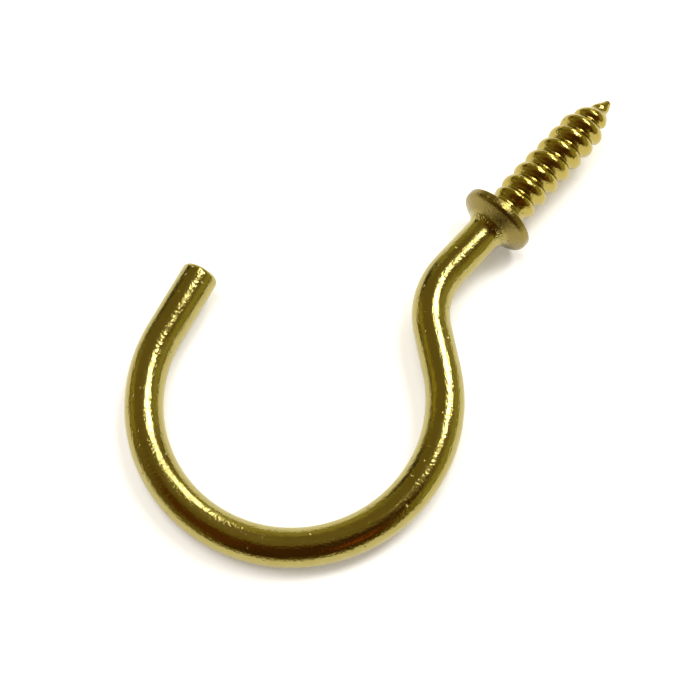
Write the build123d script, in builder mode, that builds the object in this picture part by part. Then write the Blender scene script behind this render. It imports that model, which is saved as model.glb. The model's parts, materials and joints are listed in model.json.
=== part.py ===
"""Shouldered cup hook: one length of wire with an upset flange, a rolled wood-screw thread and a bent bowl.

The hook lies as it comes to rest, on the rim of its flange and on the far side of its bowl.
The origin is the centre of the flange's seat, where the screw's axis leaves it. +Z is up.
"""
from build123d import *
from math import asin, atan, cos, degrees, floor, pi, radians, sin
import os

# Wire: 10 gauge, and every bend's radius is to its centre line
wire_diameter = 3.25
shank_length = 6.65  # seat to the start of the offset bend
bend_radius = 6.2
bend_angle = 53
throat_length = 3.75  # straight between the offset bend and the bowl
bowl_bore = 21.6  # inside diameter of the bowl
bowl_turn = 218.5
lip_length = 6.3  # straight free end
lip_round = 0.5  # rounded edge of the sheared end

# Flange: flat seat, upright rim and a cone that runs down to the shank
flange_diameter = 6.6
rim_thickness = 0.75
flange_height = 1.7  # seat to the foot of the cone
rim_round = 0.5
cone_foot_round = 1.2
seat_edge_round = 0.12

# Screw: plain neck, parallel core and gimlet point
neck_length = 2.1
screw_length = 15.0  # seat to the tip
core_diameter = 3.1
tip_diameter = 0.25
point_length = 3.8  # about: the point starts where a whole turn of thread ends

# Thread: right-hand, 16 turns to the inch
thread_pitch = 25.4 / 16
thread_start = 1.68  # seat to where the ridge starts to rise out of the core
thread_height = 0.42
thread_foot = 1.15  # width of the ridge where it is rooted
thread_crest = 0.36
thread_root = 0.2  # depth of the ridge's foot under the core's surface

wire_radius = wire_diameter / 2
flange_radius = flange_diameter / 2
core_radius = core_diameter / 2
tip_radius = tip_diameter / 2
bowl_radius = bowl_bore / 2 + wire_radius

# The first turn of the ridge rises from the core, the next ones are full and the last ones follow the point
full_turns = round((screw_length - point_length - thread_start) / thread_pitch) - 1
point_start = thread_start + (1 + full_turns) * thread_pitch
point_turns = floor((screw_length - point_start) / thread_pitch)
point_slope = atan((tip_radius - core_radius) / (screw_length - point_start))
rise_height = thread_height + thread_root
rise_slope = atan(rise_height / thread_pitch)

# Centre of the bowl in the hook's own plane, with x along the screw and y across it
throat_heading = radians(180 + bend_angle)
bowl_x = (
    -shank_length
    + (bend_radius + bowl_radius) * sin(throat_heading)
    + throat_length * cos(throat_heading)
)
bowl_y = (
    -bend_radius
    - (bend_radius + bowl_radius) * cos(throat_heading)
    + throat_length * sin(throat_heading)
)

# The flange stands further out than the wire, so the hook's plane slopes down towards the bowl.
# The weight balances on the screw's line, and the wire touches down where that line leaves the bowl.
lay_heading = pi + asin(bowl_y / bowl_radius)
lay_reach = bowl_x * cos(lay_heading) + bowl_y * sin(lay_heading) + bowl_radius
lay_angle = degrees(asin((flange_radius - wire_radius) / lay_reach))
lay_hinge = Axis((0, 0, 0), (-sin(lay_heading), cos(lay_heading), 0))
screw_direction = Vector(1, 0, 0).rotate(lay_hinge, lay_angle)
hook_normal = Vector(0, 0, 1).rotate(lay_hinge, lay_angle)
hook_plane = Plane(origin=(0, 0, 0), x_dir=screw_direction, z_dir=hook_normal)
screw_axis = Axis((0, 0, 0), screw_direction)


def round_corner(profile, x, y, radius):
    """Round the profile's corner nearest to a point of its own plane."""
    fillet(profile.vertices().sort_by_distance((x, y))[0], radius)


def turned_blank():
    """Shank, flange, neck and screw core, all turned about the screw's axis."""
    with BuildPart() as blank:
        with BuildSketch(hook_plane) as profile:
            with BuildLine():
                Polyline(
                    (-shank_length, 0),
                    (-shank_length, wire_radius),
                    (-flange_height, wire_radius),
                    (-rim_thickness, flange_radius),
                    (0, flange_radius),
                    (0, wire_radius),
                    (neck_length, wire_radius),
                    (neck_length + wire_radius - core_radius, core_radius),
                    (point_start, core_radius),
                    (screw_length, tip_radius),
                    (screw_length, 0),
                    close=True,
                )
            make_face()
            round_corner(profile, -flange_height, wire_radius, cone_foot_round)
            round_corner(profile, -rim_thickness, flange_radius, rim_round)
            round_corner(profile, 0, flange_radius, seat_edge_round)
        revolve(axis=screw_axis)
    return blank.part


def bent_wire():
    """Wire from the shank round the offset bend and the bowl to the rounded free end."""
    with BuildPart() as wire:
        with BuildLine(hook_plane) as centre_line:
            bend = JernArc((-shank_length, 0), (-1, 0), bend_radius, bend_angle)
            throat = PolarLine(bend @ 1, throat_length, direction=bend % 1)
            bowl = JernArc(throat @ 1, throat % 1, bowl_radius, -bowl_turn)
            lip = PolarLine(bowl @ 1, lip_length, direction=bowl % 1)
        with BuildSketch(Plane(origin=centre_line.line @ 0, z_dir=centre_line.line % 0)):
            Circle(wire_radius)
        sweep()
        end_rims = wire.edges().filter_by(GeomType.CIRCLE).sort_by_distance(lip @ 1)
        fillet(end_rims[0], lip_round)
    return wire.part


def ridge_turn(start, radius, slope=0):
    """One turn of the thread's ridge from a distance along the screw, rooted in a core of this radius."""
    centre = hook_plane.from_local_coords((start, 0, 0))
    with BuildPart() as ridge:
        with BuildLine() as spiral:
            Helix(thread_pitch / cos(slope), thread_pitch, radius, centre, screw_direction, degrees(slope))
        outward = (spiral.line @ 0) - centre
        with BuildSketch(Plane(origin=spiral.line @ 0, x_dir=outward, z_dir=spiral.line % 0)):
            with BuildLine():
                Polyline(
                    (-thread_root, -thread_foot / 2),
                    (thread_height, -thread_crest / 2),
                    (thread_height, thread_crest / 2),
                    (-thread_root, thread_foot / 2),
                    close=True,
                )
            make_face()
        sweep(is_frenet=True)
    return ridge.part


def thread_ridge():
    """Every turn of the ridge, from the neck to the point."""
    turns = [ridge_turn(thread_start, core_radius - rise_height, rise_slope)]
    for turn in range(full_turns):
        turns.append(ridge_turn(thread_start + (1 + turn) * thread_pitch, core_radius))
    for turn in range(point_turns):
        radius = core_radius + turn * thread_pitch * (tip_radius - core_radius) / (screw_length - point_start)
        turns.append(ridge_turn(point_start + turn * thread_pitch, radius, point_slope))
    return turns


with BuildPart() as cup_hook:
    add(turned_blank())
    add(bent_wire())
    for turn in thread_ridge():
        add(turn)

cup_hook.part.label = "cup_hook"
os.makedirs("parts", exist_ok=True)
export_step(cup_hook.part, "parts/cup_hook.step")
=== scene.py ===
"""Shouldered cup hook of bright brassed wire, with an upset flange and a rolled thread, on a pale table."""
import json
import logging
from dataclasses import dataclass, field
from enum import Enum
from math import cos, hypot, pi, radians, sin, tan

import bmesh
import bpy
from mathutils import Matrix, Vector


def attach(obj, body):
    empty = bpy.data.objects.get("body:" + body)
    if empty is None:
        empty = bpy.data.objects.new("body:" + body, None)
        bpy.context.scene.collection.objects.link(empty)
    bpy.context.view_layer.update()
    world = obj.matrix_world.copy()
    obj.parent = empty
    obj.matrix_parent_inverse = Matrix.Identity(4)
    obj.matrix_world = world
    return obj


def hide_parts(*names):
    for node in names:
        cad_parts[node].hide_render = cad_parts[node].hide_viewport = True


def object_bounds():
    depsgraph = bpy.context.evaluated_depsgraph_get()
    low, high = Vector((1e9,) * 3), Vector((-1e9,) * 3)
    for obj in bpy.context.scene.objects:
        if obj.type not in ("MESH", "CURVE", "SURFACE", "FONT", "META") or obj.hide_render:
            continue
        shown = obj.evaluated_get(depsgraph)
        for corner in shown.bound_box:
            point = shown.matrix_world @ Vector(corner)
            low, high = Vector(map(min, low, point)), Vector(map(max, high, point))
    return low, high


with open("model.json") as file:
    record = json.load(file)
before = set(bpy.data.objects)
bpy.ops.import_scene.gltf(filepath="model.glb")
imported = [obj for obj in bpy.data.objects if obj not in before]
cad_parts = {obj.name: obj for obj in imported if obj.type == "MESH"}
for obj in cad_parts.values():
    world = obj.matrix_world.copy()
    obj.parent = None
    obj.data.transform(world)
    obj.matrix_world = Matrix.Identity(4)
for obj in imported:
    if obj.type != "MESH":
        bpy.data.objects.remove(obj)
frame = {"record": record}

CAD_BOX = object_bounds()
MM = 0.001
NODE = "cup_hook"
BODY = "root"
SEAM = 1e-4
TOUCH = 1e-5
SPAN = ("From Min", "From Max")
log = logging.getLogger("cup_hook")


def linear(hex_colour: str) -> tuple[float, float, float, float]:
    """Turn an sRGB hex colour to linear light.

    Args:
        hex_colour: a hash and six hex digits.

    Returns:
        Red, green, blue and a full alpha, as Blender's sockets take them.
    """
    digits = hex_colour.lstrip("#")
    shares = [int(digits[i : i + 2], 16) / 255 for i in (0, 2, 4)]
    red, green, blue = (s / 12.92 if s <= 0.04045 else ((s + 0.055) / 1.055) ** 2.4 for s in shares)
    return red, green, blue, 1.0


def smooth(edge_low: float, edge_high: float, value: float) -> float:
    """Ease from 0 at the low edge to 1 at the high edge."""
    share = min(1.0, max(0.0, (value - edge_low) / (edge_high - edge_low)))
    return share * share * (3 - 2 * share)


def rounded_profile(corners: list[tuple[float, float, float]], steps: int) -> list[tuple[float, float]]:
    """Round the corners of a turned profile.

    Args:
        corners: distance along the axis, radius from the axis and corner round, in order.
        steps: points in each rounded corner.

    Returns:
        Distance along the axis and radius, in order.
    """
    points = [(corners[0][0], corners[0][1])]
    for before, here, after in zip(corners, corners[1:], corners[2:]):
        spot = Vector(here[:2])
        back = (Vector(before[:2]) - spot).normalized()
        on = (Vector(after[:2]) - spot).normalized()
        half = back.angle(on) / 2
        middle = spot + (back + on).normalized() * here[2] / sin(half)
        start = spot + back * here[2] / tan(half) - middle
        turn = start.angle_signed(spot + on * here[2] / tan(half) - middle)
        for step in range(steps + 1):
            offset = start.copy()
            offset.rotate(Matrix.Rotation(-turn * step / steps, 2))
            points.append(tuple(middle + offset))
    points.append((corners[-1][0], corners[-1][1]))
    return points


@dataclass
class Tube:
    """A skin that grows ring by ring from its open end, and notes where each ring lies on straight wire."""

    bm: bmesh.types.BMesh
    edges: list[bmesh.types.BMEdge]
    centre: Vector
    heading: Vector
    along: float = 0.0
    start_slack: float = 0.2

    def __post_init__(self) -> None:
        """Find the layer of straightened places."""
        self.layer: bmesh.types.BMLayerItem = self.bm.verts.layers.float_vector["straight"]

    def ring(self) -> list[bmesh.types.BMVert]:
        """The vertices of the open end."""
        return list({v for e in self.edges for v in e.verts})

    def extrude(self, distance: float, growth: float = 1.0) -> None:
        """Add one ring further on.

        Args:
            distance: how far the new ring lies along the heading.
            growth: its radius as a share of the last ring's.
        """
        grown = bmesh.ops.extrude_edge_only(self.bm, edges=self.edges)["geom"]
        self.edges = [g for g in grown if isinstance(g, bmesh.types.BMEdge)]
        ring = self.ring()
        bmesh.ops.translate(self.bm, verts=ring, vec=self.heading * distance)
        self.centre = self.centre + self.heading * distance
        self.along += distance
        space = Matrix.Translation(-self.centre)
        bmesh.ops.scale(self.bm, verts=ring, vec=(growth, growth, growth), space=space)
        for vert in ring:
            old = vert[self.layer]
            vert[self.layer] = (self.along, old.y * growth, old.z * growth)

    def straight(self, length: float, step: float) -> None:
        """Run straight on for a length, with rings about a step apart."""
        count = max(1, round(length / step))
        for _ in range(count):
            self.extrude(length / count)

    def bend(self, radius: float, turn: float, step: float) -> None:
        """Run round an arc in the hook's plane.

        Args:
            radius: to the centre line.
            turn: in degrees, positive to the left of the heading.
            step: distance between rings on the centre line.
        """
        side = 1 if turn > 0 else -1
        left = Vector((-self.heading.y, self.heading.x, 0))
        pivot = self.centre + left * radius * side
        count = max(2, round(radius * radians(abs(turn)) / step))
        known = set(self.bm.verts)
        spun = bmesh.ops.spin(
            self.bm,
            geom=self.edges + self.ring(),
            cent=pivot,
            axis=(0, 0, side),
            angle=radians(abs(turn)),
            steps=count,
        )["geom_last"]
        first = self.centre - pivot
        for vert in set(self.bm.verts) - known:
            swept = (vert.co - pivot).xy.angle_signed(first.xy) * side
            # Past half a turn the signed angle wraps; a little below zero is still the start.
            arc = swept if swept > -self.start_slack else swept + 2 * pi
            old = vert[self.layer]
            vert[self.layer] = (self.along + radius * arc, old.y, old.z)
        self.edges = [g for g in spun if isinstance(g, bmesh.types.BMEdge)]
        rotation = Matrix.Rotation(radians(turn), 3, "Z")
        self.centre = pivot + rotation @ first
        self.heading = rotation @ self.heading
        self.along += radius * radians(abs(turn))

    def close(self) -> None:
        """Draw the open end together into one pole."""
        self.extrude(0.0, 0.5)
        bmesh.ops.pointmerge(self.bm, verts=self.ring(), merge_co=self.centre)


@dataclass
class Screw:
    """Rolled wood-screw thread with a gimlet point, in mm, with x along the screw from the flange's seat.

    The thread fades in from the neck's end to full_height. It starts to die out fade_lag past the point's start
    and would be gone fade_past beyond the tip. The powers shape the point's taper and the ridge's flanks and
    crest. Each tip ring has its distance from the last and its radius as a share of it.
    """

    length: float = 15.0
    neck_radius: float = 1.62
    core_radius: float = 1.53
    tip_radius: float = 0.25
    pitch: float = 25.4 / 16
    crest_height: float = 0.45
    ridge_share: float = 0.86
    phase: float = 1.68
    neck_end: float = 0.75
    point_start: float = 11.0
    core_fade: tuple[float, float] = (0.8, 2.4)
    full_height: float = 2.2
    fade_lag: float = 0.8
    fade_past: float = 0.2
    point_power: float = 1.15
    flank_power: float = 2.2
    crest_power: float = 0.85
    tip_rings: tuple[tuple[float, float], ...] = ((0.03, 0.93), (0.04, 0.84), (0.03, 0.72), (0.02, 0.5))
    segments: int = 96
    profile_steps: int = 16
    spun_turns: int = 12

    @property
    def shoulder(self) -> float:
        """Where the point ends and its rounded tip begins."""
        return self.length - sum(distance for distance, _ in self.tip_rings)

    def core(self, x: float) -> float:
        """Radius under the thread at a distance along the screw."""
        radius = self.neck_radius + (self.core_radius - self.neck_radius) * smooth(*self.core_fade, x)
        if x > self.point_start:
            share = min(1.0, (x - self.point_start) / (self.length - self.point_start))
            radius += (self.tip_radius - radius) * share**self.point_power
        return radius

    def rise(self, x: float) -> float:
        """Share of the thread's full height at x: it fades in at the neck and out on the point."""
        fade = smooth(self.point_start + self.fade_lag, self.length + self.fade_past, x)
        return smooth(self.neck_end, self.full_height, x) * (1 - fade)

    def section(self, share: float) -> float:
        """Height of the ridge at a share of the pitch: a round crest between narrow flat valleys."""
        reach = min(1.0, abs(2 * share - 1) / self.ridge_share)
        return self.crest_height * (1 - reach**self.flank_power) ** self.crest_power

    def build(self, bm: bmesh.types.BMesh) -> Tube:
        """Make the threaded end, closed at its tip and open at the neck.

        Args:
            bm: the mesh it is added to.

        Returns:
            The open end at the neck, ready to grow towards the flange.
        """
        # A quarter turn on from where the spin starts, the middle of the ridge has to lie at the phase.
        start = self.phase - self.pitch / 4 - 2.5 * self.pitch
        previous = None
        for step in range(self.profile_steps + 1):
            share = (1 - cos(pi * step / self.profile_steps)) / 2
            vert = bm.verts.new((start + share * self.pitch, 1.0 + self.section(share), 0))
            if previous is not None:
                bm.edges.new((previous, vert))
            previous = vert
        bmesh.ops.spin(
            bm,
            geom=bm.verts[:] + bm.edges[:],
            cent=(0, 0, 0),
            axis=(1, 0, 0),
            dvec=(self.pitch / self.segments, 0, 0),
            angle=2 * pi * self.spun_turns,
            steps=self.segments * self.spun_turns,
        )
        bmesh.ops.remove_doubles(bm, verts=bm.verts[:], dist=SEAM)
        for side, cut in ((-1, self.neck_end), (1, self.shoulder)):
            everything = bm.verts[:] + bm.edges[:] + bm.faces[:]
            bmesh.ops.bisect_plane(
                bm,
                geom=everything,
                dist=TOUCH,
                plane_co=(cut, 0, 0),
                plane_no=(side, 0, 0),
                clear_outer=True,
            )
        # The ridge was spun round a core of radius 1; it is now set on the real core, which tapers.
        layer = bm.verts.layers.float_vector.new("straight")
        for vert in bm.verts:
            radius = hypot(vert.co.y, vert.co.z)
            grown = (self.core(vert.co.x) + (radius - 1.0) * self.rise(vert.co.x)) / radius
            vert.co.y *= grown
            vert.co.z *= grown
            vert[layer] = (-vert.co.x, vert.co.y, vert.co.z)
        self.close_tip(bm)
        rim = [e for e in bm.edges if e.is_boundary and abs(e.verts[0].co.x - self.neck_end) < 10 * SEAM]
        return Tube(bm, rim, Vector((self.neck_end, 0, 0)), Vector((-1, 0, 0)), -self.neck_end)

    def close_tip(self, bm: bmesh.types.BMesh) -> None:
        """Round the tip over and close it."""
        rim = [e for e in bm.edges if e.is_boundary and e.verts[0].co.x > self.length / 2]
        tip = Tube(bm, rim, Vector((self.shoulder, 0, 0)), Vector((1, 0, 0)))
        for distance, growth in self.tip_rings:
            tip.extrude(distance, growth)
        tip.close()


@dataclass
class Flange:
    """Upset flange, in mm: flat seat, upright rim and a cone down to the shank.

    The neck's turning grooves deepen over groove_rise and die out over groove_fall, measured from the seat.
    """

    radius: float = 3.3
    rim_thickness: float = 0.75
    height: float = 1.7
    seat_edge: float = 0.12
    rim_round: float = 0.5
    foot_round: float = 1.2
    neck_fillet: float = 0.1
    groove_pitch: float = 0.24
    groove_depth: float = 0.02
    groove_rise: tuple[float, float] = (0.1, 0.3)
    groove_fall: tuple[float, float] = (0.6, 0.75)
    rings_per_groove: int = 6
    above_seat: float = 0.2
    ring_gap: float = 0.35
    round_steps: int = 8

    def build(self, tube: Tube, neck_radius: float, wire_radius: float, shank_length: float) -> None:
        """Grow the neck, the flange and the shank from the screw's open end.

        Args:
            tube: the open end at the neck.
            neck_radius: the neck's radius.
            wire_radius: the shank's radius.
            shank_length: seat to the start of the first bend.
        """
        radius = neck_radius
        for x in self.neck_stations(tube.centre.x):
            groove = self.groove_depth * (1 - cos(2 * pi * x / self.groove_pitch)) / 2
            target = neck_radius - groove * smooth(*self.groove_rise, x) * (1 - smooth(*self.groove_fall, x))
            tube.extrude(tube.centre.x - x, target / radius)
            radius = target
        corners = [
            (self.above_seat, neck_radius, 0.0),
            (0.0, neck_radius, self.neck_fillet),
            (0.0, self.radius, self.seat_edge),
            (-self.rim_thickness, self.radius, self.rim_round),
            (-self.height, wire_radius, self.foot_round),
            (-shank_length, wire_radius, 0.0),
        ]
        outline = rounded_profile(corners, self.round_steps)
        for (x, target), (next_x, next_radius) in zip(outline[1:], outline[2:]):
            tube.extrude(tube.centre.x - x, target / radius)
            radius = target
            span = hypot(next_x - x, next_radius - target)
            extra = int(span / self.ring_gap)
            for step in range(extra):
                share = (step + 1) / (extra + 1)
                between = target + (next_radius - target) * share
                tube.extrude(tube.centre.x - (x + (next_x - x) * share), between / radius)
                radius = between
        tube.extrude(tube.centre.x + shank_length, wire_radius / radius)

    def neck_stations(self, start: float) -> list[float]:
        """Distances along the neck at which a ring shows the turning marks."""
        step = self.groove_pitch / self.rings_per_groove
        count = int((start - self.above_seat) / step)
        return [start - step * (i + 1) for i in range(count)]


@dataclass
class Hook:
    """The whole hook: one length of wire, in mm, in its own plane with x along the screw."""

    wire_radius: float = 1.617
    shank_length: float = 6.65
    bend_radius: float = 6.2
    bend_angle: float = 53.0
    throat_length: float = 3.75
    bowl_radius: float = 12.425
    bowl_turn: float = 218.5
    lip_length: float = 6.3
    lip_round: float = 0.5
    ring_step: float = 0.3
    end_steps: int = 8
    end_rings: tuple[float, ...] = (0.8, 0.7, 0.5)
    screw: Screw = field(default_factory=Screw)
    flange: Flange = field(default_factory=Flange)

    def plane(self) -> Matrix:
        """The hook's own plane in the frame, from the seat's and the bowl's axes in the record."""
        mounts = {m["name"]: m for m in frame["record"]["mounts"]}
        along = Vector(mounts["flange_seat"]["axis"]).normalized()
        normal = Vector(mounts["bowl"]["axis"]).normalized()
        across = normal.cross(along).normalized()
        turned = Matrix((along, across, along.cross(across))).transposed()
        return turned.to_4x4() @ Matrix.Scale(MM, 4)

    def build(self) -> bpy.types.Object:
        """Make the hook's mesh from the tip of the screw to the free end.

        Returns:
            The finished piece, in metres, where the frame has the hook.
        """
        bm = bmesh.new()
        tube = self.screw.build(bm)
        self.flange.build(tube, self.screw.neck_radius, self.wire_radius, self.shank_length)
        tube.bend(self.bend_radius, self.bend_angle, self.ring_step)
        tube.straight(self.throat_length, self.ring_step)
        tube.bend(self.bowl_radius, -self.bowl_turn, self.ring_step)
        tube.straight(self.lip_length - self.lip_round, self.ring_step)
        self.round_end(tube)
        bmesh.ops.remove_doubles(bm, verts=bm.verts[:], dist=TOUCH)
        bmesh.ops.recalc_face_normals(bm, faces=bm.faces[:])
        bmesh.ops.transform(bm, matrix=self.plane(), verts=bm.verts[:])
        for face in bm.faces:
            face.smooth = True
        mesh = bpy.data.meshes.new("hook")
        bm.to_mesh(mesh)
        bm.free()
        piece = bpy.data.objects.new("hook", mesh)
        bpy.context.collection.objects.link(piece)
        return piece

    def round_end(self, tube: Tube) -> None:
        """Round the sheared end's edge and close its face."""
        radius, reached = self.wire_radius, 0.0
        for step in range(1, self.end_steps + 1):
            angle = pi / 2 * step / self.end_steps
            target = self.wire_radius - self.lip_round * (1 - cos(angle))
            tube.extrude(self.lip_round * sin(angle) - reached, target / radius)
            radius, reached = target, self.lip_round * sin(angle)
        for growth in self.end_rings:
            tube.extrude(0.0, growth)
        tube.close()

    def dress(self, piece: bpy.types.Object) -> None:
        """Give the hook its finish and tie it to the frame."""
        piece.data.materials.append(BrassPlate().material())
        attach(piece, BODY)
        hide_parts(NODE)


class Nodes:
    """A material's or world's node tree, cleared and ready to be filled."""

    def __init__(self, owner: bpy.types.Material | bpy.types.World) -> None:
        """Clear the owner's tree."""
        owner.use_nodes = True
        self.tree = owner.node_tree
        self.tree.nodes.clear()

    def add(self, kind: str, settings: dict | None = None, **links: object) -> bpy.types.Node:
        """Add a node with its settings and links.

        Args:
            kind: the node's type.
            settings: values by attribute, or by input name.
            **links: input names, with _ for a space, or _ and an input's place, and the output socket or
                value that each takes.

        Returns:
            The new node.
        """
        node = self.tree.nodes.new(kind)
        for name, value in (settings or {}).items():
            if hasattr(node, name):
                setattr(node, name, value)
            else:
                node.inputs[name].default_value = value
        for name, source in links.items():
            by_place = name[1:].isdigit()
            socket = node.inputs[int(name[1:]) if by_place else name.replace("_", " ")]
            if isinstance(source, bpy.types.NodeSocket):
                self.tree.links.new(source, socket)
            else:
                socket.default_value = source
        return node


@dataclass(frozen=True)
class BrassPlate:
    """Bright electro-brass on drawn steel wire.

    The plate follows the drawn wire under it, so the eye sees fine draw lines and a sandy grain that fray the
    edges of each highlight, with a few bright pits. The upset flange is duller and browner, and the rolled
    thread is a deeper gold. Depths are in metres; places and radii on the wire are in mm, and places on the
    screw are negative.
    """

    name: str = "electro_brassed_drawn_steel"
    colour: str = "#aaa164"
    worn_colour: str = "#a09250"
    upset_colour: str = "#887a42"
    thread_colour: str = "#aa9a50"
    roughness: float = 0.15
    upset_roughness: float = 0.14
    thread_roughness: float = 0.02
    draw_line_mm: float = 0.14
    draw_run_mm: float = 2.5
    grain_mm: float = 0.2
    pit_mm: float = 0.9
    pit_edges: tuple[float, float] = (0.04, 0.13)
    pit_strength: float = 0.9
    pit_depth: float = 0.00006
    wave_mm: float = 1 / 0.9
    turning_mm: float = 0.24
    turned_mm: float = 1.5
    turned_fade: float = 0.5
    seat_clear: tuple[float, float] = (-0.05, -0.15)
    ring_depth: float = 0.00001
    scuff_depth: float = 0.0006
    scuff_fade: tuple[float, float] = (0.5, 0.1)
    gloss_spread: tuple[float, float] = (0.06, 0.08)
    noise_span: tuple[float, float] = (0.3, 0.7)
    relief_strengths: tuple[float, ...] = (0.2, 0.6, 0.5)
    relief_depths: tuple[float, ...] = (0.00012, 0.00004, 0.00002)
    flange_radii: tuple[float, float] = (1.66, 2.3)
    seat_fade: tuple[float, float] = (-0.3, -0.1)
    thread_fade: tuple[float, float] = (-0.4, -1.6)

    def material(self) -> bpy.types.Material:
        """Make the material from the wire's straightened places."""
        material = bpy.data.materials.new(self.name)
        nodes = Nodes(material)
        place = nodes.add("ShaderNodeAttribute", {"attribute_name": "straight"}).outputs["Vector"]
        upset, thread = self.masks(nodes, place)
        stretch = (1 / self.draw_run_mm, 1 / self.draw_line_mm, 1 / self.draw_line_mm)
        drawn = nodes.add("ShaderNodeMapping", {"Scale": stretch}, Vector=place)
        fine = {"Scale": 1.0, "Detail": 3.0, "Roughness": 0.6}
        lines = nodes.add("ShaderNodeTexNoise", fine, Vector=drawn.outputs[0])
        sandy = {**fine, "Scale": 1 / self.grain_mm, "Detail": 1.0}
        grain = nodes.add("ShaderNodeTexNoise", sandy, Vector=place)
        slow = {**fine, "Scale": 1 / self.wave_mm, "Detail": 2.0}
        waves = nodes.add("ShaderNodeTexNoise", slow, Vector=place)
        pits = nodes.add("ShaderNodeTexVoronoi", {"Scale": 1 / self.pit_mm}, Vector=place)
        # A mix node's share is its input 0, and its two colours are its inputs 6 and 7.
        plain = nodes.add(
            "ShaderNodeMix",
            {"data_type": "RGBA"},
            _0=waves.outputs["Fac"],
            _6=linear(self.colour),
            _7=linear(self.worn_colour),
        )
        dulled = nodes.add(
            "ShaderNodeMix",
            {"data_type": "RGBA"},
            _0=upset,
            _6=plain.outputs[2],
            _7=linear(self.upset_colour),
        )
        colour = nodes.add(
            "ShaderNodeMix",
            {"data_type": "RGBA"},
            _0=thread,
            _6=dulled.outputs[2],
            _7=linear(self.thread_colour),
        )
        smoothest, roughest = self.roughness - self.gloss_spread[0], self.roughness + self.gloss_spread[1]
        dulling = {**dict(zip(SPAN, self.noise_span)), "To Min": smoothest, "To Max": roughest}
        gloss = nodes.add("ShaderNodeMapRange", dulling, Value=lines.outputs["Fac"])
        add = {"operation": "MULTIPLY_ADD"}
        rough = nodes.add("ShaderNodeMath", add, _0=upset, _1=self.upset_roughness, _2=gloss.outputs[0])
        worked = nodes.add("ShaderNodeMath", add, _0=thread, _1=self.thread_roughness, _2=rough.outputs[0])
        shader = nodes.add(
            "ShaderNodeBsdfPrincipled",
            {"Metallic": 1.0},
            Base_Color=colour.outputs[2],
            Roughness=worked.outputs[0],
            Normal=self.turning(nodes, place, self.relief(nodes, (waves, grain, lines), pits, upset)),
        )
        nodes.add("ShaderNodeOutputMaterial", Surface=shader.outputs[0])
        return material

    def masks(self, nodes: Nodes, place: bpy.types.NodeSocket) -> tuple[bpy.types.NodeSocket, ...]:
        """Find the flange and the thread by their places on the straightened wire.

        Args:
            nodes: the material's nodes.
            place: distance from the seat towards the free end, then the offsets from the wire's axis, in mm.

        Returns:
            1 on the flange and 0 elsewhere, and the same for the thread.
        """
        along = nodes.add("ShaderNodeSeparateXYZ", Vector=place).outputs["X"]
        across = nodes.add("ShaderNodeVectorMath", {"operation": "MULTIPLY"}, _0=place, _1=(0.0, 1.0, 1.0))
        radius = nodes.add("ShaderNodeVectorMath", {"operation": "LENGTH"}, _0=across.outputs[0])
        reach = radius.outputs["Value"]
        wide = nodes.add("ShaderNodeMapRange", dict(zip(SPAN, self.flange_radii)), Value=reach)
        below = nodes.add("ShaderNodeMapRange", dict(zip(SPAN, self.seat_fade)), Value=along)
        thread = nodes.add("ShaderNodeMapRange", dict(zip(SPAN, self.thread_fade)), Value=along)
        flange = nodes.add(
            "ShaderNodeMath", {"operation": "MULTIPLY"}, _0=wide.outputs[0], _1=below.outputs[0]
        )
        return flange.outputs[0], thread.outputs[0]

    def turning(
        self, nodes: Nodes, place: bpy.types.NodeSocket, normal: bpy.types.NodeSocket
    ) -> bpy.types.NodeSocket:
        """Cut fine turning rings into the neck between the seat and the thread.

        Args:
            nodes: the material's nodes.
            place: where a point lies on the straightened wire.
            normal: the normal without the rings.

        Returns:
            The normal with the rings.
        """
        along = nodes.add("ShaderNodeSeparateXYZ", Vector=place).outputs["X"]
        turns = nodes.add("ShaderNodeMath", {"operation": "MULTIPLY"}, _0=along, _1=2 * pi / self.turning_mm)
        wave = nodes.add("ShaderNodeMath", {"operation": "SINE"}, _0=turns.outputs[0])
        last = {"From Min": -self.turned_mm, "From Max": self.turned_fade - self.turned_mm}
        first = dict(zip(SPAN, self.seat_clear))
        neck = nodes.add("ShaderNodeMapRange", last, Value=along)
        seat = nodes.add("ShaderNodeMapRange", first, Value=along)
        mask = nodes.add("ShaderNodeMath", {"operation": "MULTIPLY"}, _0=neck.outputs[0], _1=seat.outputs[0])
        rings = nodes.add("ShaderNodeMath", {"operation": "MULTIPLY"}, _0=wave.outputs[0], _1=mask.outputs[0])
        cut = {"Strength": 1.0, "Distance": self.ring_depth}
        bump = nodes.add("ShaderNodeBump", cut, Height=rings.outputs[0], Normal=normal)
        return bump.outputs["Normal"]

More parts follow.
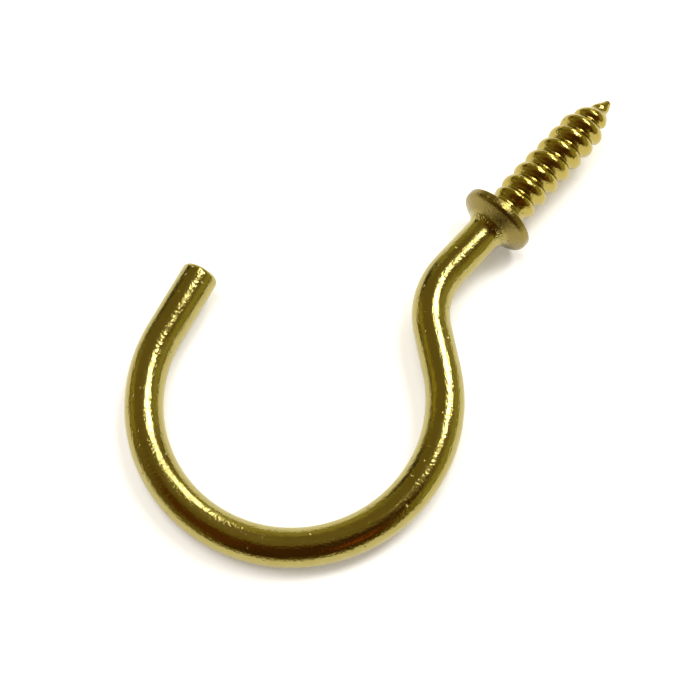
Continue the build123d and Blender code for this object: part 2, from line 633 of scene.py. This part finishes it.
    def relief(
        self,
        nodes: Nodes,
        heights: tuple[bpy.types.Node, ...],
        pits: bpy.types.Node,
        upset: bpy.types.NodeSocket,
    ) -> bpy.types.NodeSocket:
        """Stack the wire's slow waves, grain, draw lines and pits, and the gripping tool's ring of scuffs.

        Args:
            nodes: the material's nodes.
            heights: the noise of the waves, the grain and the draw lines.
            pits: cells whose middles are pitted.
            upset: 1 on the flange; the scuffs lie where it fades out, at the flange's foot.

        Returns:
            The normal.
        """
        edges = dict(zip(SPAN, self.pit_edges))
        pit = nodes.add("ShaderNodeMapRange", edges, Value=pits.outputs["Distance"])
        sunk = {"Strength": self.pit_strength, "Distance": self.pit_depth}
        normal = nodes.add("ShaderNodeBump", sunk, Height=pit.outputs[0])
        for noise, strength, depth in zip(heights, self.relief_strengths, self.relief_depths):
            normal = nodes.add(
                "ShaderNodeBump",
                {"Strength": strength, "Distance": depth},
                Height=noise.outputs["Fac"],
                Normal=normal.outputs["Normal"],
            )
        foot = nodes.add("ShaderNodeMapRange", dict(zip(SPAN, self.scuff_fade)), Value=upset)
        ring = nodes.add("ShaderNodeMath", {"operation": "MULTIPLY"}, _0=foot.outputs[0], _1=upset)
        scuff = nodes.add(
            "ShaderNodeMath", {"operation": "MULTIPLY"}, _0=ring.outputs[0], _1=heights[1].outputs["Fac"]
        )
        scuffed = nodes.add(
            "ShaderNodeBump",
            {"Strength": 1.0, "Distance": self.scuff_depth},
            Height=scuff.outputs[0],
            Normal=normal.outputs["Normal"],
        )
        return scuffed.outputs["Normal"]


@dataclass(frozen=True)
class TableTop:
    """White laminate table, matt and clean: an even white that keeps a soft shadow."""

    name: str = "white_matt_laminate"
    colour: str = "#f4f4f4"
    lift: float = 0.26

    def material(self) -> bpy.types.Material:
        """Make the material, with a lift that only the camera and reflections see."""
        material = bpy.data.materials.new(self.name)
        nodes = Nodes(material)
        path = nodes.add("ShaderNodeLightPath")
        either = {"operation": "MAXIMUM"}
        rays = ("Camera", "Glossy", "Transmission")
        camera, glossy, passed = (path.outputs[f"Is {ray} Ray"] for ray in rays)
        seen = nodes.add("ShaderNodeMath", either, _0=camera, _1=glossy)
        shown = nodes.add("ShaderNodeMath", either, _0=seen.outputs[0], _1=passed)
        strength = nodes.add("ShaderNodeMath", {"operation": "MULTIPLY"}, _0=shown.outputs[0], _1=self.lift)
        matt = nodes.add("ShaderNodeBsdfDiffuse", {"Color": linear(self.colour)})
        glow = nodes.add("ShaderNodeEmission", Strength=strength.outputs[0])
        both = nodes.add("ShaderNodeAddShader", _0=matt.outputs[0], _1=glow.outputs[0])
        nodes.add("ShaderNodeOutputMaterial", Surface=both.outputs[0])
        return material


class Bearing(Enum):
    """Compass bearings in the table's plane, in degrees from the frame's +X towards +Y."""

    AWAY = 42.4
    RIGHT = -47.6
    NEAR = 222.4
    LEFT = 132.4


@dataclass
class Lamp:
    """A soft box, in mm and degrees, that faces the hook; one that isn't mirrored lights only the table."""

    name: str
    bearing: float
    height: float
    distance: float
    size: tuple[float, float]
    power: float
    mirrored: bool = True

    def build(self, target: Vector) -> None:
        """Hang the lamp where it faces the target."""
        data = bpy.data.lights.new(self.name, "AREA")
        data.shape = "RECTANGLE"
        data.size, data.size_y = (side * MM for side in self.size)
        data.energy = self.power
        lamp = bpy.data.objects.new(self.name, data)
        bearing, height = radians(self.bearing), radians(self.height)
        back = Vector((cos(bearing) * cos(height), sin(bearing) * cos(height), sin(height)))
        lamp.location = target + back * self.distance * MM
        lamp.rotation_mode = "QUATERNION"
        lamp.rotation_quaternion = back.to_track_quat("Z", "Y")
        lamp.visible_glossy = self.mirrored
        bpy.context.collection.objects.link(lamp)


@dataclass
class Card:
    """A faintly glowing card that stands in for a wall or a dark corner of the room, in mm and degrees."""

    name: str
    bearing: float
    height: float
    distance: float
    size: tuple[float, float]
    colour: str

    def build(self, target: Vector) -> None:
        """Stand the card up where it faces the target."""
        bearing, height = radians(self.bearing), radians(self.height)
        back = Vector((cos(bearing) * cos(height), sin(bearing) * cos(height), sin(height)))
        bm = bmesh.new()
        bmesh.ops.create_grid(bm, x_segments=2, y_segments=2, size=MM / 2)
        bmesh.ops.scale(bm, verts=bm.verts[:], vec=(self.size[0], self.size[1], 1))
        turned = back.to_track_quat("Z", "Y").to_matrix().to_4x4()
        bmesh.ops.transform(
            bm, matrix=Matrix.Translation(target + back * self.distance * MM) @ turned, verts=bm.verts[:]
        )
        mesh = bpy.data.meshes.new(self.name)
        bm.to_mesh(mesh)
        bm.free()
        card = bpy.data.objects.new(self.name, mesh)
        card.data.materials.append(self.material())
        bpy.context.collection.objects.link(card)

    def material(self) -> bpy.types.Material:
        """Card whose colour glows evenly as painted light standing in for a lit wall, so that it shows in the
        metal as a soft patch.
        """
        material = bpy.data.materials.new(f"glowing_card_{self.name}")
        nodes = Nodes(material)
        # Painted light: the card's colour is emitted as a glow; the lamps don't light it.
        card_glow = nodes.add("ShaderNodeEmission", {"Color": linear(self.colour)})
        nodes.add("ShaderNodeOutputMaterial", Surface=card_glow.outputs[0])
        return material


@dataclass
class Studio:
    """Table, soft boxes, room and camera."""

    table_size: float = 3000.0
    azimuth: float = -47.6
    elevation: float = 68.4
    aim: tuple[float, float, float] = (-17.5, 1.5, -1.1)
    distance: float = 108.8
    lens: float = 66.86
    room_colour: str = "#8e7d40"

    def build(self) -> None:
        """Set up everything round the hook."""
        self.table()
        self.room()
        target = Vector(self.aim) * MM
        for fitting in self.fittings():
            fitting.build(target)
        self.camera(target)
        bpy.context.scene.view_settings.view_transform = "Standard"

    def fittings(self) -> list[Lamp | Card]:
        """List the soft boxes and the cards that stand in for the room, by bearing, height and distance."""
        away, right, near, left = (side.value for side in Bearing)
        return [
            Lamp("key_soft_box", away - 54, 59, 500, (145, 190), 1.25),
            Lamp("strip_soft_box", away - 24, 39, 500, (100, 170), 0.4),
            Lamp("table_wash", away + 60, 78, 500, (260, 260), 1.45, mirrored=False),
            Card("far_wall", away, 16, 700, (900, 520), "#bdb367"),
            Card("right_wall", right, 16, 700, (900, 480), "#bbb263"),
            Card("near_wall", near, 46, 620, (1000, 860), "#503312"),
            Card("near_left_wall", near - 47, 50, 640, (520, 560), "#6c4012"),
            Card("brick_corner", near + 26, 38, 520, (150, 110), "#b45c24"),
            Card("left_lamp_glow", left - 16, 22, 600, (260, 200), "#c8ba50"),
            Card("dark_corner", away + 42, 10, 600, (190, 200), "#181304"),
        ]

    def table(self) -> None:
        """Lay the table under the hook's lowest point."""
        low = CAD_BOX[0].z
        bm = bmesh.new()
        bmesh.ops.create_grid(bm, x_segments=4, y_segments=4, size=self.table_size * MM / 2)
        bmesh.ops.translate(bm, verts=bm.verts[:], vec=(0, 0, low))
        mesh = bpy.data.meshes.new("table")
        bm.to_mesh(mesh)
        bm.free()
        table = bpy.data.objects.new("table", mesh)
        table.data.materials.append(TableTop().material())
        bpy.context.collection.objects.link(table)

    def room(self) -> None:
        """Light the rest of the room dimly in olive brown."""
        world = bpy.data.worlds.new("room")
        bpy.context.scene.world = world
        nodes = Nodes(world)
        sky = nodes.add("ShaderNodeBackground", {"Color": linear(self.room_colour)})
        nodes.add("ShaderNodeOutputWorld", Surface=sky.outputs[0])

    def camera(self, target: Vector) -> None:
        """Stand the camera over the table, looking down at the bowl."""
        data = bpy.data.cameras.new("camera")
        data.lens = self.lens
        data.sensor_width = 36.0
        data.clip_start = 0.01
        camera = bpy.data.objects.new("camera", data)
        bearing, height = radians(self.azimuth), radians(self.elevation)
        back = Vector((sin(bearing) * cos(height), -cos(bearing) * cos(height), sin(height)))
        camera.location = target + back * self.distance * MM
        camera.rotation_mode = "QUATERNION"
        camera.rotation_quaternion = back.to_track_quat("Z", "Y")
        bpy.context.collection.objects.link(camera)
        bpy.context.scene.camera = camera


def main() -> None:
    """Build the hook and its studio."""
    logging.basicConfig(level=logging.INFO, format="%(name)s: %(message)s")
    hook = Hook()
    piece = hook.build()
    hook.dress(piece)
    log.info("%s has %d faces", piece.name, len(piece.data.polygons))
    Studio().build()
    log.info("studio is up")


if __name__ == "__main__":
    main()
